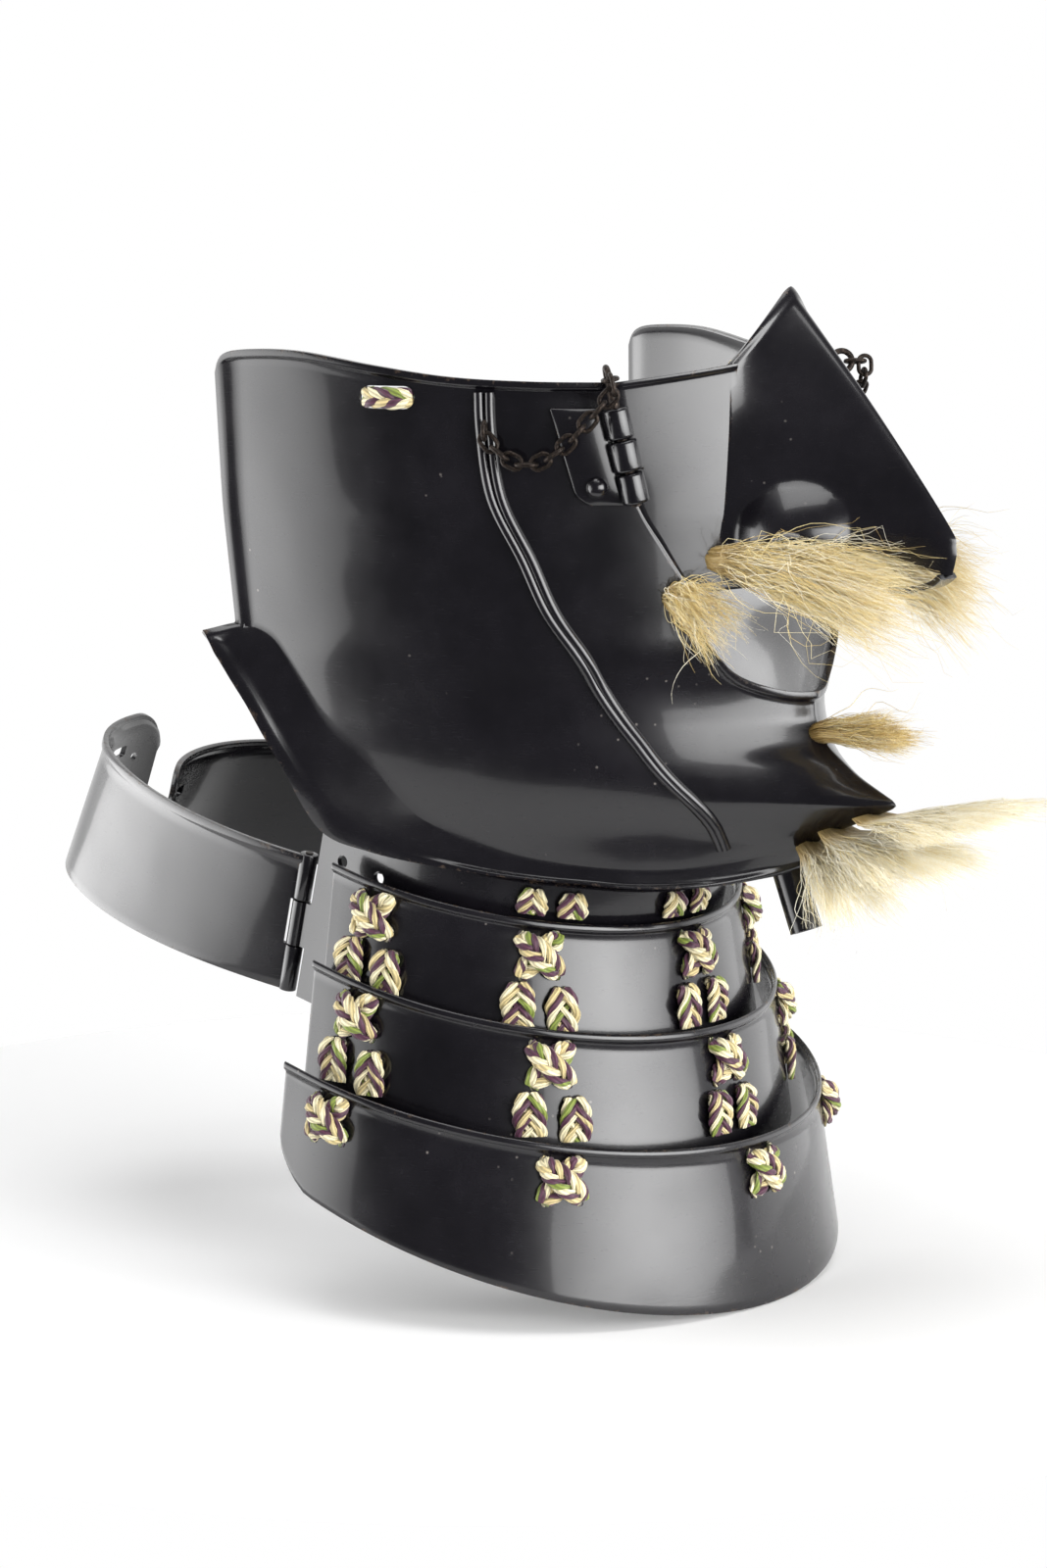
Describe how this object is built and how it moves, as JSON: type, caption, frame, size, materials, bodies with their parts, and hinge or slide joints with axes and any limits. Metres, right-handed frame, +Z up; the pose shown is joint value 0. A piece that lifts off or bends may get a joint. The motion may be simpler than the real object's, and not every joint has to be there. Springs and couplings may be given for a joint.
{
  "type": "armour half mask",
  "caption": "Lacquered half-face armour mask with a pinned removable nose plate, hair moustache and beard, hinged neck ring and three laced throat lames.",
  "frame": {"origin": "middle of the opening that the wearer's face enters, in the plane of the rear edges and at the height of the mouth", "axes": "+X to the wearer's left, +Y back away from the face, towards the nape, +Z up; the face looks along -Y"},
  "size_m": [0.1559, 0.2671, 0.2324],
  "materials": {
    "black_lacquer": "glossy black lacquer over iron",
    "bare_iron": "dark brown patinated iron",
    "silk_braid": "plaited silk in cream, purple and green",
    "horsehair": "bleached horsehair"
  },
  "bodies": {
    "mask": {"mask_plate": "black_lacquer", "nose_plate": "black_lacquer", "hinge_leaf_right": "black_lacquer", "hinge_leaf_left": "black_lacquer", "nose_knuckle_right": "black_lacquer", "nose_knuckle_left": "black_lacquer", "leaf_rivets": "black_lacquer", "chain_staples": "bare_iron", "pin_chain_right": "bare_iron", "pin_chain_left": "bare_iron", "drain_tube": "black_lacquer", "cheek_cord_right": "silk_braid", "cheek_cord_left": "silk_braid", "moustache_right": "horsehair", "moustache_left": "horsehair", "corner_tuft_right": "horsehair", "corner_tuft_left": "horsehair", "lip_tuft": "horsehair", "beard_front": "horsehair", "beard_middle": "horsehair", "beard_rear": "horsehair", "neck_collar": "black_lacquer", "neck_hinge_pins": "bare_iron", "collar_laces_front": "silk_braid", "collar_laces_side": "silk_braid"},
    "pin_right": {"nose_pin_right": "bare_iron"},
    "pin_left": {"nose_pin_left": "bare_iron"},
    "band_right": {"neck_band_right": "black_lacquer"},
    "band_left": {"neck_band_left": "black_lacquer"},
    "lame_1": {"throat_lame_1": "black_lacquer", "cross_knots_1": "silk_braid", "upper_laces_front": "silk_braid", "upper_laces_side": "silk_braid", "upper_laces_rear": "silk_braid"},
    "lame_2": {"throat_lame_2": "black_lacquer", "cross_knots_2": "silk_braid", "lower_laces_front": "silk_braid", "lower_laces_side": "silk_braid", "lower_laces_rear": "silk_braid"},
    "lame_3": {"throat_lame_3": "black_lacquer", "cross_knots_3": "silk_braid"}
  },
  "joints": [
    {"name": "nose_pin_right_slide", "type": "slide", "parent": "mask", "child": "pin_right", "axis": [-0.1606, 0.1575, 0.9744], "range_m": [0, 0.027], "deforming": ["pin_chain_right"]},
    {"name": "nose_pin_left_slide", "type": "slide", "parent": "mask", "child": "pin_left", "axis": [0.1606, 0.1575, 0.9744], "range_m": [0, 0.027], "deforming": ["pin_chain_left"]},
    {"name": "neck_band_right_hinge", "type": "hinge", "parent": "mask", "child": "band_right", "pos_m": [-0.04985, 0.00046, -0.06881], "axis": [0, -0.2215, 0.9751], "range_deg": [-4, 52]},
    {"name": "neck_band_left_hinge", "type": "hinge", "parent": "mask", "child": "band_left", "pos_m": [0.04985, 0.00046, -0.06881], "axis": [0, 0.2215, -0.9751], "range_deg": [0, 75]},
    {"name": "throat_lame_1_lift", "type": "slide", "parent": "mask", "child": "lame_1", "axis": [0, 0, 1], "range_m": [0, 0.004], "deforming": ["collar_laces_front", "collar_laces_side"]},
    {"name": "throat_lame_2_lift", "type": "slide", "parent": "lame_1", "child": "lame_2", "axis": [0, 0, 1], "range_m": [0, 0.008], "deforming": ["upper_laces_front", "upper_laces_side", "upper_laces_rear"]},
    {"name": "throat_lame_3_lift", "type": "slide", "parent": "lame_2", "child": "lame_3", "axis": [0, 0, 1], "range_m": [0, 0.012], "deforming": ["lower_laces_front", "lower_laces_side", "lower_laces_rear"]}
  ]
}
